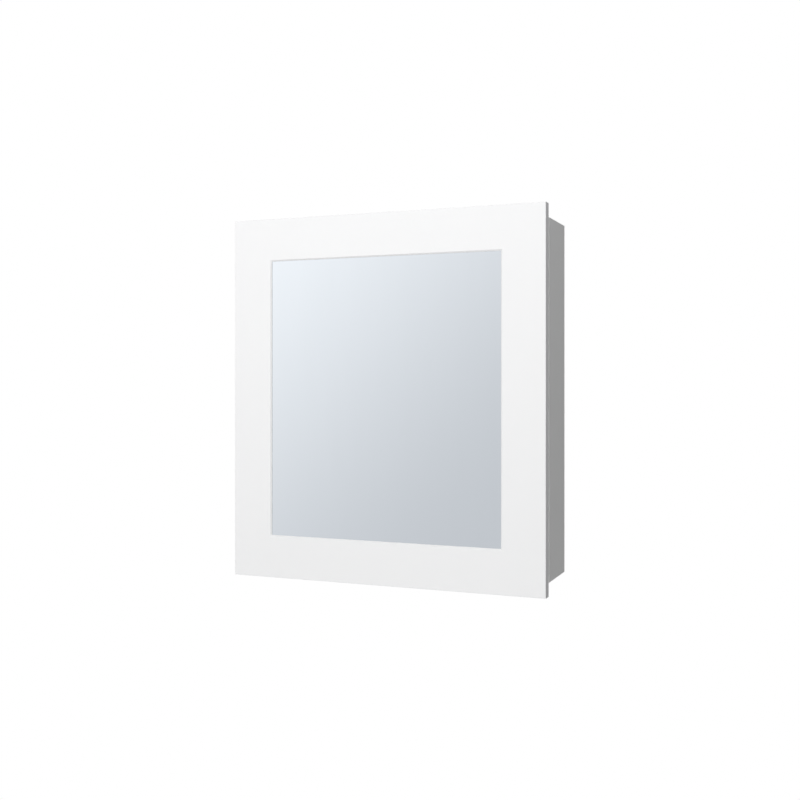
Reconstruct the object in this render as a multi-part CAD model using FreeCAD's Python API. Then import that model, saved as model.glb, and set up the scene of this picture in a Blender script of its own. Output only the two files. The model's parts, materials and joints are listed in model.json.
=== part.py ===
import FreeCAD, Part
import os

# Wall-hung medicine cabinet with one mirrored door, in millimetres.
# Origin: centre of the wall screw pattern, on the wall plane. +X right, +Y into the wall, +Z up.

# Door and case, overall
door_width = 550.0
door_height = 610.0
door_thickness = 18.0
door_overhang = 21.0
case_depth = 103.0
board = 16.0
band_thickness = 0.8

# Door frame and mirror
frame_width = 72.0
edge_ease = 1.2
lip_thickness = 2.6
lip_bevel = 2.2
mirror_lap = 10.0
mirror_thickness = 4.0
mirror_play = 1.0
gasket_thickness = 0.4
gasket_width = 8.0
backing_thickness = 3.0

# Offset clips that hold the mirror from behind
clip_thickness = 1.2
clip_width = 14.0
clip_reach = 6.0
clip_flange = 13.0
clip_play = 0.3
clip_end_inset = 60.0
clips_per_long_side = 3
clips_per_short_side = 2

# Back panel and wall rails
back_thickness = 3.0
groove_depth = 6.0
groove_play = 0.2
back_play = 0.8
rail_thickness = 12.0
rail_height = 60.0
stud_spacing = 406.4
wall_hole_diameter = 5.5

# Dowels and knock-down fittings in the board joints
dowel_diameter = 8.0
dowel_length = 30.0
dowel_in_side = 10.0
rail_dowel_diameter = 6.0
rail_dowel_length = 26.0
rail_dowel_in_side = 11.0
rail_dowel_spacing = 34.0
cam_diameter = 15.0
cam_play = 0.2
cam_skin = 3.5
cam_setback = 24.0
cam_front_inset = 24.0
cam_rear_inset = 34.0
cam_bolt_diameter = 6.0
cam_bolt_neck_diameter = 3.6
cam_bolt_head_length = 3.0
cam_bolt_thread_diameter = 5.0
cam_bolt_in_side = 10.5
bore_relief = 1.0
fit_play = 0.05

# Glass shelves and what they stand on
shelf_thickness = 5.0
shelf_edge_ease = 1.0
shelf_front_setback = 6.0
shelf_rear_gap = 4.0
shelf_rows_each_way = 3
pin_diameter = 5.0
pin_in_side = 9.0
pin_ledge = 9.0
pin_flat_height = 1.0
pin_collar_diameter = 7.0
pin_collar_thickness = 1.2
pin_collar_play = 0.3
pin_pitch = 32.0
pin_rows_each_way = 5
pin_front_setback = 24.0
pin_column_spacing = 45.0
pad_thickness = 1.0
pad_width = 4.0

# Continuous hinge on the left edge
leaf_thickness = 0.9
leaf_gap = 0.4
leaf_width = 13.0
hinge_end_margin = 6.0
hinge_pin_diameter = 2.4
hinge_pin_play = 0.05
barrel_side_clearance = 0.4
knuckle_count = 27
knuckle_gap = 0.3
hinge_screw_count = 9
hinge_screw_inset = 7.0
hinge_screw_end_inset = 18.0

# Screws
screw_diameter = 3.0
screw_tip = 2.5
pan_head_diameter = 6.0
pan_head_height = 1.6
recess_length = 2.6
recess_width = 0.6
recess_depth = 0.6
hinge_screw_length = 14.0
clip_screw_length = 10.0
catch_screw_length = 14.0
head_play = 0.1

# Magnetic catch and its strike
catch_width = 14.0
catch_depth = 18.0
catch_body_length = 36.0
catch_base_length = 60.0
catch_base_thickness = 3.0
catch_setback = 1.0
catch_floor = 3.0
catch_ear_inset = 6.0
catch_ease = 1.0
pole_thickness = 1.5
magnet_thickness = 6.0
magnet_length = 30.0
magnet_recess = 0.5
magnet_play = 0.2
strike_thickness = 1.2
strike_width = 13.0
strike_length = 40.0
strike_gap = 0.2
strike_screw_length = 13.0

# Soft pads that the door closes on
bumper_diameter = 8.0
bumper_inset = 16.0
bumper_play = 0.1
bumper_ease = 0.7

# Places that follow from the sizes above
half_width = door_width / 2
half_door = door_height / 2
half_case = half_door - door_overhang
inner_x = half_width - board
inner_z = half_case - board
case_front = -case_depth
core_front = case_front + band_thickness
door_gap = 2 * leaf_thickness + leaf_gap
door_back = case_front - door_gap
door_front = door_back - door_thickness
opening_x = half_width - frame_width
opening_z = half_door - frame_width
lip_rear = door_front + lip_thickness
mirror_front = lip_rear + gasket_thickness
backing_front = mirror_front + mirror_thickness
backing_rear = backing_front + backing_thickness
back_rear = -rail_thickness
back_front = back_rear - back_thickness
rail_z = inner_z - rail_height / 2
joint_z = half_case - board / 2
cam_rows = (case_front + cam_front_inset, -cam_rear_inset)
dowel_row = sum(cam_rows) / len(cam_rows)
cam_x = inner_x - cam_setback
pin_columns = (case_front + pin_front_setback, case_front + pin_front_setback + pin_column_spacing)
shelf_rows = (-shelf_rows_each_way, shelf_rows_each_way)
shelf_lift = pin_flat_height + pad_thickness
barrel_radius = hinge_pin_diameter / 2 + hinge_pin_play + leaf_thickness
axis_x = -half_width - barrel_side_clearance - barrel_radius
axis_y = case_front - door_gap / 2
hinge_half = half_case - hinge_end_margin
hinge_screw_x = hinge_screw_inset - half_width
countersunk_diameter = screw_diameter + 2 * leaf_thickness
strike_countersunk_diameter = screw_diameter + 2 * strike_thickness
catch_x = inner_x - catch_width / 2
catch_front = case_front + catch_setback
pole_front = door_back + strike_thickness + strike_gap
catch_screw_z = catch_base_length / 2 - catch_ear_inset
bumper_x = half_width - board / 2
bumper_z = half_case - bumper_inset

LEFT, RIGHT = -1, 1
LOWER, UPPER = -1, 1
INTO_WALL = FreeCAD.Vector(0, 1, 0)
OUT_OF_WALL = FreeCAD.Vector(0, -1, 0)
RIGHTWARDS = FreeCAD.Vector(1, 0, 0)
UPWARDS = FreeCAD.Vector(0, 0, 1)


def point(x, y, z):
    return FreeCAD.Vector(x, y, z)


def block(x_ends, y_ends, z_ends):
    low = point(min(x_ends), min(y_ends), min(z_ends))
    high = point(max(x_ends), max(y_ends), max(z_ends))
    size = high - low
    return Part.makeBox(size.x, size.y, size.z, low)


def rod(diameter, length, start, direction):
    return Part.makeCylinder(diameter / 2, length, start, direction)


def spread(count, half_length):
    """Evenly spaced places from one end to the other."""
    step = 2 * half_length / (count - 1)
    return [index * step - half_length for index in range(count)]


def set_along(shape, start, direction):
    """Move a shape made upwards from the origin to its place."""
    shape.Placement = FreeCAD.Placement(start, FreeCAD.Rotation(UPWARDS, direction))
    return shape


# Screws, made with the tip upwards from the head's seat at the origin

def cross_recess(top):
    long_way = (-recess_length / 2, recess_length / 2)
    short_way = (-recess_width / 2, recess_width / 2)
    deep = (top, top + recess_depth)
    return block(long_way, short_way, deep).fuse(block(short_way, long_way, deep))


def shank(length):
    straight = rod(screw_diameter, length - screw_tip, point(0, 0, 0), UPWARDS)
    tip = Part.makeCone(screw_diameter / 2, 0, screw_tip, point(0, 0, length - screw_tip), UPWARDS)
    return straight.fuse(tip)


def pan_screw(length, seat, direction):
    head = rod(pan_head_diameter, pan_head_height, point(0, 0, -pan_head_height), UPWARDS)
    rim = [edge for edge in head.Edges if edge.BoundBox.ZMax < -pan_head_height / 2]
    head = head.makeFillet(pan_head_height / 2, rim)
    screw = shank(length).fuse(head).cut(cross_recess(-pan_head_height))
    return set_along(screw.removeSplitter(), seat, direction)


def flat_screw(length, head_diameter, head_height, face, direction):
    """A countersunk screw whose head is level with the face that it is driven from."""
    head = Part.makeCone(head_diameter / 2, screw_diameter / 2, head_height, point(0, 0, 0), UPWARDS)
    screw = shank(length).fuse(head).cut(cross_recess(0))
    return set_along(screw.removeSplitter(), face, direction)


def countersink(head_diameter, head_height, face, direction):
    start = head_diameter / 2 + head_play
    end = screw_diameter / 2 + head_play
    return Part.makeCone(start, end, head_height, face, direction)


def bore(diameter, depth, start, direction):
    """A drilled hole for a dowel, pin or screw, with play round it and relief at its end."""
    return rod(diameter + 2 * fit_play, depth + bore_relief, start, direction)


def pilot(length, seat, direction):
    return bore(screw_diameter, length, seat, direction)


# Where the fastenings go

def hinge_screw_places(y):
    return [point(hinge_screw_x, y, z) for z in spread(hinge_screw_count, hinge_half - hinge_screw_end_inset)]


def hinge_pilots():
    return [pilot(hinge_screw_length, place, INTO_WALL) for place in hinge_screw_places(case_front)]


def catch_screw_places(x):
    middle = catch_front + catch_depth / 2
    return [point(x, middle, z) for z in (-catch_screw_z, catch_screw_z)]


def wall_hole_tools():
    holes = []
    for x in (-stud_spacing / 2, stud_spacing / 2):
        for z in (-rail_z, rail_z):
            holes.append(rod(wall_hole_diameter, -back_front, point(x, back_front, z), INTO_WALL))
    return holes


def joint_ends():
    """Each end of the top and bottom boards: which side, which board, and the way out to the side panel."""
    for side in (LEFT, RIGHT):
        for level in (LOWER, UPPER):
            yield side, level, RIGHTWARDS * side


def rail_dowel_places(side):
    places = []
    for level in (LOWER, UPPER):
        for step in (-rail_dowel_spacing / 2, rail_dowel_spacing / 2):
            places.append(point(side * inner_x, -rail_thickness / 2, level * rail_z + step))
    return places


# Case boards

def side_panel(side):
    outwards = RIGHTWARDS * side
    face = side * inner_x
    panel = block((face, side * half_width), (core_front, 0), (-half_case, half_case))
    groove_z = inner_z + groove_depth
    cuts = [block((face, face + side * groove_depth), (back_front - groove_play, back_rear + groove_play),
                  (-groove_z, groove_z))]
    for y in pin_columns:
        for row in range(-pin_rows_each_way, pin_rows_each_way + 1):
            start = point(face, y, row * pin_pitch)
            cuts.append(bore(pin_diameter, pin_in_side, start, outwards))
    for level in (LOWER, UPPER):
        dowel = point(face, dowel_row, level * joint_z)
        cuts.append(bore(dowel_diameter, dowel_in_side, dowel, outwards))
        for y in cam_rows:
            bolt = point(face, y, level * joint_z)
            cuts.append(bore(cam_bolt_thread_diameter, cam_bolt_in_side, bolt, outwards))
    for start in rail_dowel_places(side):
        cuts.append(bore(rail_dowel_diameter, rail_dowel_in_side, start, outwards))
    if side == LEFT:
        cuts += hinge_pilots()
    else:
        cuts += [pilot(catch_screw_length - catch_base_thickness, place, outwards)
                 for place in catch_screw_places(inner_x)]
    return panel.cut(cuts)


def end_panel(level):
    """The top or bottom board, between the sides."""
    inside = level * inner_z
    outside = level * half_case
    panel = block((-inner_x, inner_x), (core_front, 0), (inside, outside))
    cuts = [block((-inner_x, inner_x), (back_front - groove_play, back_rear + groove_play),
                  (inside, inside + level * groove_depth))]
    for side in (LEFT, RIGHT):
        inwards = RIGHTWARDS * -side
        end = side * inner_x
        dowel = point(end, dowel_row, level * joint_z)
        cuts.append(bore(dowel_diameter, dowel_length - dowel_in_side, dowel, inwards))
        for y in cam_rows:
            bolt = point(end, y, level * joint_z)
            cam = point(side * cam_x, y, outside)
            cuts.append(rod(cam_bolt_diameter + 2 * cam_play, cam_setback, bolt, inwards))
            cuts.append(rod(cam_diameter, board - cam_skin, cam, UPWARDS * -level))
    return panel.cut(cuts)


def side_band(side):
    """The edging on a side panel's front edge. The hinge screws pass through the left one."""
    band = block((side * inner_x, side * half_width), (case_front, core_front), (-half_case, half_case))
    return band.cut(hinge_pilots()) if side == LEFT else band


def end_band(level):
    return block((-inner_x, inner_x), (case_front, core_front), (level * inner_z, level * half_case))


def back_panel():
    x = inner_x + groove_depth - back_play
    z = inner_z + groove_depth - back_play
    return block((-x, x), (back_front, back_rear), (-z, z)).cut(wall_hole_tools())


def hanging_rail(level):
    rail = block((-inner_x, inner_x), (back_rear, 0), (level * inner_z, level * (inner_z - rail_height)))
    cuts = wall_hole_tools()
    for side in (LEFT, RIGHT):
        for start in rail_dowel_places(side):
            depth = rail_dowel_length - rail_dowel_in_side
            cuts.append(bore(rail_dowel_diameter, depth, start, RIGHTWARDS * -side))
    return rail.cut(cuts)


# Fittings in the board joints

def panel_dowels():
    dowels = []
    for side, level, outwards in joint_ends():
        start = point(side * (inner_x + dowel_in_side), dowel_row, level * joint_z)
        dowels.append(rod(dowel_diameter, dowel_length, start, outwards * -1))
    return dowels


def rail_dowels():
    dowels = []
    for side in (LEFT, RIGHT):
        for place in rail_dowel_places(side):
            start = place + RIGHTWARDS * side * rail_dowel_in_side
            dowels.append(rod(rail_dowel_diameter, rail_dowel_length, start, RIGHTWARDS * -side))
    return dowels


def cam_bolts():
    bolts = []
    neck_length = cam_diameter / 2
    for side, level, outwards in joint_ends():
        for y in cam_rows:
            face = point(side * inner_x, y, level * joint_z)
            thread = rod(cam_bolt_thread_diameter, cam_bolt_in_side, face, outwards)
            stem = rod(cam_bolt_diameter, cam_setback - neck_length, face, outwards * -1)
            neck_start = face - outwards * (cam_setback - neck_length)
            neck = rod(cam_bolt_neck_diameter, neck_length, neck_start, outwards * -1)
            head_start = face - outwards * (cam_setback - cam_bolt_head_length)
            head = rod(cam_bolt_diameter, cam_bolt_head_length, head_start, outwards * -1)
            bolts.append(thread.fuse([stem, neck, head]).removeSplitter())
    return bolts


def cam_locks():
    cams = []
    for side, level, outwards in joint_ends():
        for y in cam_rows:
            outside = point(side * cam_x, y, level * half_case)
            cam = rod(cam_diameter - 2 * cam_play, board - cam_skin - cam_play, outside, UPWARDS * -level)
            slot_start = point(side * cam_x, y, level * joint_z) - outwards * cam_play
            slot = rod(cam_bolt_diameter + 2 * cam_play, cam_diameter, slot_start, outwards)
            recess = set_along(cross_recess(0), outside, UPWARDS * -level)
            cams.append(cam.cut([slot, recess]))
    return cams


# Shelves

def glass_shelf(row):
    x = inner_x - pin_collar_thickness - pin_collar_play
    under = row * pin_pitch + shelf_lift
    shelf = block((-x, x), (case_front + shelf_front_setback, back_front - shelf_rear_gap),
                  (under, under + shelf_thickness))
    return shelf.makeFillet(shelf_edge_ease, shelf.Edges)


def shelf_pin_places():
    for row in shelf_rows:
        for y in pin_columns:
            for side in (LEFT, RIGHT):
                yield side, point(side * inner_x, y, row * pin_pitch)


def shelf_pins():
    pins = []
    for side, place in shelf_pin_places():
        inwards = RIGHTWARDS * -side
        stem = rod(pin_diameter, pin_in_side + pin_ledge, place - inwards * pin_in_side, inwards)
        collar = rod(pin_collar_diameter, pin_collar_thickness, place, inwards)
        ledge_start = place.x - side * pin_collar_thickness
        above_flat = block((ledge_start, place.x - side * (pin_ledge + bore_relief)),
                           (place.y - pin_diameter, place.y + pin_diameter),
                           (place.z + pin_flat_height, place.z + pin_diameter))
        pins.append(stem.fuse(collar).cut(above_flat).removeSplitter())
    return pins


def shelf_pads():
    pads = []
    for side, place in shelf_pin_places():
        near = place.x - side * (pin_collar_thickness + pin_collar_play)
        far = place.x - side * pin_ledge
        base = place.z + pin_flat_height
        pads.append(block((near, far), (place.y - pad_width / 2, place.y + pad_width / 2),
                          (base, base + pad_thickness)))
    return pads


# Continuous hinge

def knuckles(first):
    """Ends of every other knuckle along the barrel, from the given one."""
    pitch = 2 * hinge_half / knuckle_count
    return [(index * pitch - hinge_half, (index + 1) * pitch - hinge_half)
            for index in range(first, knuckle_count, 2)]


def barrel(diameter, low, high):
    return rod(diameter, high - low, point(axis_x, axis_y, low), UPWARDS)


def hinge_leaf(board_face, outwards, own_first, other_first):
    """One leaf on its board, with its own knuckles and notches for the other leaf's."""
    open_face = board_face + outwards.y * leaf_thickness
    plate = block((axis_x, leaf_width - half_width), (board_face, open_face), (-hinge_half, hinge_half))
    half_gap = knuckle_gap / 2
    notches = [barrel(2 * (barrel_radius + knuckle_gap), low - half_gap, high + half_gap)
               for low, high in knuckles(other_first)]
    plate = plate.cut(notches)
    own = [barrel(2 * barrel_radius, low + half_gap, high - half_gap) for low, high in knuckles(own_first)]
    pin_bore = barrel(hinge_pin_diameter + 2 * hinge_pin_play, -half_case, half_case)
    sinks = [countersink(countersunk_diameter, leaf_thickness, place, outwards * -1)
             for place in hinge_screw_places(open_face)]
    return plate.fuse(own).cut([pin_bore] + sinks).removeSplitter()


def hinge_screws(open_face, direction):
    return [flat_screw(hinge_screw_length, countersunk_diameter, leaf_thickness, place, direction)
            for place in hinge_screw_places(open_face)]


# Magnetic catch

def catch_housing():
    deep = (catch_front, catch_front + catch_depth)
    base_z = catch_base_length / 2
    body_z = catch_body_length / 2
    base = block((inner_x - catch_base_thickness, inner_x), deep, (-base_z, base_z))
    body = block((inner_x - catch_width, inner_x), deep, (-body_z, body_z))
    room_side = [edge for edge in body.Edges if edge.CenterOfMass.x < catch_x]
    body = body.makeFillet(catch_ease, room_side)
    cavity_x = magnet_thickness / 2 + pole_thickness + magnet_play
    cavity_z = magnet_length / 2 + magnet_play
    cavity = block((catch_x - cavity_x, catch_x + cavity_x), (catch_front, deep[1] - catch_floor),
                   (-cavity_z, cavity_z))
    holes = [pilot(catch_base_thickness, place, RIGHTWARDS)
             for place in catch_screw_places(inner_x - catch_base_thickness)]
    return base.fuse(body).cut([cavity] + holes).removeSplitter()


def catch_magnet():
    return block((catch_x - magnet_thickness / 2, catch_x + magnet_thickness / 2),
                 (catch_front + magnet_recess, catch_front + catch_depth - catch_floor),
                 (-magnet_length / 2, magnet_length / 2))


def catch_pole_plates():
    plates = []
    for side in (LEFT, RIGHT):
        near = catch_x + side * magnet_thickness / 2
        plates.append(block((near, near + side * pole_thickness),
                            (pole_front, catch_front + catch_depth - catch_floor),
                            (-magnet_length / 2, magnet_length / 2)))
    return plates


def catch_screws():
    return [pan_screw(catch_screw_length, place, RIGHTWARDS)
            for place in catch_screw_places(inner_x - catch_base_thickness)]


def strike_face():
    return point(catch_x, door_back + strike_thickness, 0)


def strike_plate():
    plate = block((catch_x - strike_width / 2, catch_x + strike_width / 2),
                  (door_back, door_back + strike_thickness), (-strike_length / 2, strike_length / 2))
    return plate.cut(countersink(strike_countersunk_diameter, strike_thickness, strike_face(), OUT_OF_WALL))


def strike_screw():
    head = strike_countersunk_diameter
    return flat_screw(strike_screw_length, head, strike_thickness, strike_face(), OUT_OF_WALL)


# Door

def clip_turns():
    """Every clip: half the opening across it, its place along the side, its turn about the door's middle."""
    long_places = spread(clips_per_long_side, opening_z - clip_end_inset)
    short_places = spread(clips_per_short_side, opening_x - clip_end_inset)
    for turn in (0, 180):
        for along in long_places:
            yield opening_x, along, turn
    for turn in (90, 270):
        for along in short_places:
            yield opening_z, along, turn


def turned(shape, turn):
    shape.rotate(point(0, 0, 0), INTO_WALL, turn)
    return shape


def clip_hole(half_opening, along):
    return point(half_opening + mirror_lap + clip_flange / 2, door_back + clip_thickness, along)


def mirror_clips():
    """Offset clips: a foot on the backing, a step up the rebate wall and a flange on the frame's back."""
    clips = []
    for half_opening, along, turn in clip_turns():
        wall = half_opening + mirror_lap - clip_play
        wide = (along - clip_width / 2, along + clip_width / 2)
        foot = block((wall - clip_reach, wall), (backing_rear, backing_rear + clip_thickness), wide)
        step = block((wall - clip_thickness, wall), (backing_rear, door_back + clip_thickness), wide)
        flange = block((wall - clip_thickness, half_opening + mirror_lap + clip_flange),
                       (door_back, door_back + clip_thickness), wide)
        hole = pilot(clip_thickness, clip_hole(half_opening, along), OUT_OF_WALL)
        clips.append(turned(foot.fuse([step, flange]).cut(hole).removeSplitter(), turn))
    return clips


def clip_screws():
    return [turned(pan_screw(clip_screw_length, clip_hole(half_opening, along), OUT_OF_WALL), turn)
            for half_opening, along, turn in clip_turns()]


def face_edges(frame, inside):
    """Edges of the frame's front face, round the opening or round the outside."""
    found = []
    for edge in frame.Edges:
        middle = edge.CenterOfMass
        within = abs(middle.x) < opening_x + mirror_lap and abs(middle.z) < opening_z + mirror_lap
        if edge.BoundBox.YMax < door_front + edge_ease and within == inside:
            found.append(edge)
    return found


def door_frame():
    deep = (door_front, door_back)
    frame = block((-half_width, half_width), deep, (-half_door, half_door))
    opening = block((-opening_x, opening_x), deep, (-opening_z, opening_z))
    rebate_x = opening_x + mirror_lap
    rebate_z = opening_z + mirror_lap
    rebate = block((-rebate_x, rebate_x), (lip_rear, door_back), (-rebate_z, rebate_z))
    frame = frame.cut([opening, rebate])
    frame = frame.makeChamfer(lip_bevel, face_edges(frame, inside=True))
    frame = frame.makeFillet(edge_ease, face_edges(frame, inside=False))
    cuts = [pilot(hinge_screw_length, place, OUT_OF_WALL) for place in hinge_screw_places(door_back)]
    cuts.append(pilot(strike_screw_length, strike_face(), OUT_OF_WALL))
    for half_opening, along, turn in clip_turns():
        cuts.append(turned(pilot(clip_screw_length, clip_hole(half_opening, along), OUT_OF_WALL), turn))
    return frame.cut(cuts)


def mirror_gasket():
    """A thin sealing ring between the frame's lip and the mirror, flush with the opening."""
    def sheet(beyond_opening):
        x = opening_x + beyond_opening
        z = opening_z + beyond_opening
        return block((-x, x), (lip_rear, mirror_front), (-z, z))

    return sheet(gasket_width).cut(sheet(0))


def pane(front, thickness):
    """A sheet that lies in the frame's rebate."""
    x = opening_x + mirror_lap - mirror_play
    z = opening_z + mirror_lap - mirror_play
    return block((-x, x), (front, front + thickness), (-z, z))


def door_bumpers():
    pads = []
    for level in (LOWER, UPPER):
        place = point(bumper_x, door_back, level * bumper_z)
        pad = rod(bumper_diameter, door_gap - bumper_play, place, INTO_WALL)
        rim = [edge for edge in pad.Edges if edge.BoundBox.YMin > door_back + door_gap / 2]
        pads.append(pad.makeFillet(bumper_ease, rim))
    return pads


def main():
    case_leaf_face = case_front - leaf_thickness
    door_leaf_face = door_back + leaf_thickness
    nodes = {
        "side_panel_left": [side_panel(LEFT)],
        "side_panel_right": [side_panel(RIGHT)],
        "top_panel": [end_panel(UPPER)],
        "bottom_panel": [end_panel(LOWER)],
        "edge_band_left": [side_band(LEFT)],
        "edge_band_right": [side_band(RIGHT)],
        "edge_band_top": [end_band(UPPER)],
        "edge_band_bottom": [end_band(LOWER)],
        "back_panel": [back_panel()],
        "hanging_rail_upper": [hanging_rail(UPPER)],
        "hanging_rail_lower": [hanging_rail(LOWER)],
        "panel_dowels": panel_dowels(),
        "rail_dowels": rail_dowels(),
        "cam_bolts": cam_bolts(),
        "cam_locks": cam_locks(),
        "shelf_lower": [glass_shelf(shelf_rows[0])],
        "shelf_upper": [glass_shelf(shelf_rows[1])],
        "shelf_pins": shelf_pins(),
        "shelf_pads": shelf_pads(),
        "hinge_case_leaf": [hinge_leaf(case_front, OUT_OF_WALL, 0, 1)],
        "hinge_door_leaf": [hinge_leaf(door_back, INTO_WALL, 1, 0)],
        "hinge_pin": [barrel(hinge_pin_diameter, -hinge_half, hinge_half)],
        "hinge_case_screws": hinge_screws(case_leaf_face, INTO_WALL),
        "hinge_door_screws": hinge_screws(door_leaf_face, OUT_OF_WALL),
        "catch_housing": [catch_housing()],
        "catch_magnet": [catch_magnet()],
        "catch_pole_plates": catch_pole_plates(),
        "catch_screws": catch_screws(),
        "strike_plate": [strike_plate()],
        "strike_screw": [strike_screw()],
        "door_frame": [door_frame()],
        "mirror_gasket": [mirror_gasket()],
        "mirror_glass": [pane(mirror_front, mirror_thickness)],
        "mirror_backing": [pane(backing_front, backing_thickness)],
        "mirror_clips": mirror_clips(),
        "clip_screws": clip_screws(),
        "door_bumpers": door_bumpers(),
    }
    os.makedirs("parts", exist_ok=True)
    for name, shapes in nodes.items():
        whole = shapes[0] if len(shapes) == 1 else Part.makeCompound(shapes)
        whole.exportStep("parts/" + name + ".step")
        volume = round(whole.Volume, 1)
        print(name, len(whole.Solids), "solids", volume, "mm3", whole.isValid())


main()
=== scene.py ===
import json
import math

import bmesh
import bpy
from bpy.props import FloatProperty, FloatVectorProperty, IntProperty, PointerProperty
from bpy.types import NodeSocket, Operator, Panel, PropertyGroup
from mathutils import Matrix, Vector

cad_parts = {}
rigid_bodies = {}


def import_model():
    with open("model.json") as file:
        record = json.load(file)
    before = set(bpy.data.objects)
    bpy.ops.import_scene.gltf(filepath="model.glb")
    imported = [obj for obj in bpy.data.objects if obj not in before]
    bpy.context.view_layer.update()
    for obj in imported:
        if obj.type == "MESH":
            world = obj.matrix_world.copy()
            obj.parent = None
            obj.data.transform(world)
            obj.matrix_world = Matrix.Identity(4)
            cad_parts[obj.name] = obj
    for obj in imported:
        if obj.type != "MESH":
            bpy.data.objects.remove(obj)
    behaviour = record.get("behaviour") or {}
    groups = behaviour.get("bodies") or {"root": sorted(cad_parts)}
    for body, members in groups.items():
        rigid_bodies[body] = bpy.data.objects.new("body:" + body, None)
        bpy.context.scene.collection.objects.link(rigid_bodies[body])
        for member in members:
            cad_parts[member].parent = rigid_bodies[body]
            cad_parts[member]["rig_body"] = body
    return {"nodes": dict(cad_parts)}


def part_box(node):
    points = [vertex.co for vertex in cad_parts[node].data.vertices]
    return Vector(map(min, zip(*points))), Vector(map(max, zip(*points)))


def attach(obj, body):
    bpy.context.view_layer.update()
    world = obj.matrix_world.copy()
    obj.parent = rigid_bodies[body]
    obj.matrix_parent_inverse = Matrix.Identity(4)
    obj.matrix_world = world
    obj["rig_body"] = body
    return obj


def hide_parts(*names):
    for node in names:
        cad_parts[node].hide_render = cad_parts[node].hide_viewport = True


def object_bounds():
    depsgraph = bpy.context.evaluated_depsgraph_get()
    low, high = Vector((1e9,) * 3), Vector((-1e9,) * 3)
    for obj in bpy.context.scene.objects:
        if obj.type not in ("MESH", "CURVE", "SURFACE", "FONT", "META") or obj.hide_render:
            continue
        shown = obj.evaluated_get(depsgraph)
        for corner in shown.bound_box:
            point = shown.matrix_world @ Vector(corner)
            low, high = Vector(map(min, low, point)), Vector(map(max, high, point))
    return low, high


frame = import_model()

bl_info = {
    "name": "Mirrored medicine cabinet",
    "version": (1, 0, 0),
    "blender": (4, 5, 0),
    "location": "3D View > Sidebar > Cabinet",
    "description": "Finishes a wall-hung medicine cabinet and sets up its studio",
    "category": "Object",
}

CAD_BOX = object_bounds()
MM = 0.001

RIGHTWARDS, LEFTWARDS = Vector((1, 0, 0)), Vector((-1, 0, 0))
INTO_WALL, OUT_OF_WALL = Vector((0, 1, 0)), Vector((0, -1, 0))
UPWARDS, DOWNWARDS = Vector((0, 0, 1)), Vector((0, 0, -1))


def linear(hex_colour):
    """Linear colour from an sRGB hex value."""
    shares = [int(hex_colour[start:start + 2], 16) / 255 for start in (1, 3, 5)]
    return tuple(s / 12.92 if s <= 0.04045 else ((s + 0.055) / 1.055) ** 2.4 for s in shares)


def colour_property(name, description, hex_colour):
    return FloatVectorProperty(name=name, description=description, default=linear(hex_colour),
                               subtype="COLOR", size=3, min=0.0, max=1.0)


def length_property(name, description, millimetres):
    return FloatProperty(name=name, description=description, default=millimetres * MM,
                         unit="LENGTH", subtype="DISTANCE", precision=4)


def place_property(name, description, place):
    return FloatVectorProperty(name=name, description=description, default=place, size=3,
                               subtype="XYZ", unit="LENGTH")


def power_property(name, description, watts):
    return FloatProperty(name=name, description=description, default=watts, unit="POWER")


class CabinetFinishes(PropertyGroup):
    """Colours of the cabinet's materials"""
    lacquer: colour_property("Lacquer", "Sprayed finish of the door frame", "#f4f4f4")
    melamine: colour_property("Melamine", "Facing of the case boards", "#f2f2f1")
    edging: colour_property("Edging", "Strip on the front edges of the case boards", "#f5f5f4")
    chipboard: colour_property("Chipboard", "Core of the case boards where it is bare", "#c4a67c")
    hardboard: colour_property("Hardboard", "Bare side of the back panel and the mirror's backing", "#7d5c3f")
    painted_hardboard: colour_property("Painted hardboard", "Room side of the back panel", "#eeeeeb")
    mdf: colour_property("Fibreboard", "Wall rails", "#b6976c")
    beech: colour_property("Beech", "Dowels", "#d2ac7c")
    silver: colour_property("Silvering", "Tint of what the mirror reflects", "#eef3f8")
    mirror_paint: colour_property("Mirror paint", "Paint on the mirror's back and edges", "#7f8886")
    glass: colour_property("Shelf glass", "Tint that a long way through the shelves gives", "#8fd9bd")
    nickel: colour_property("Nickel plate", "Hinge, shelf pins and the catch's strike", "#cdcac3")
    zinc: colour_property("Zinc plate", "Mirror clips, their screws and the cam fittings", "#c3c8cd")
    plastic: colour_property("Plastic", "Housing of the magnetic catch", "#ebebe8")
    ferrite: colour_property("Ferrite", "Magnet of the catch", "#343436")
    soft_clear: colour_property("Soft clear plastic", "Door bumpers and shelf pads", "#eef0ee")
    foam: colour_property("Foam", "Strip that the mirror lies against", "#ececea")


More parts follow.
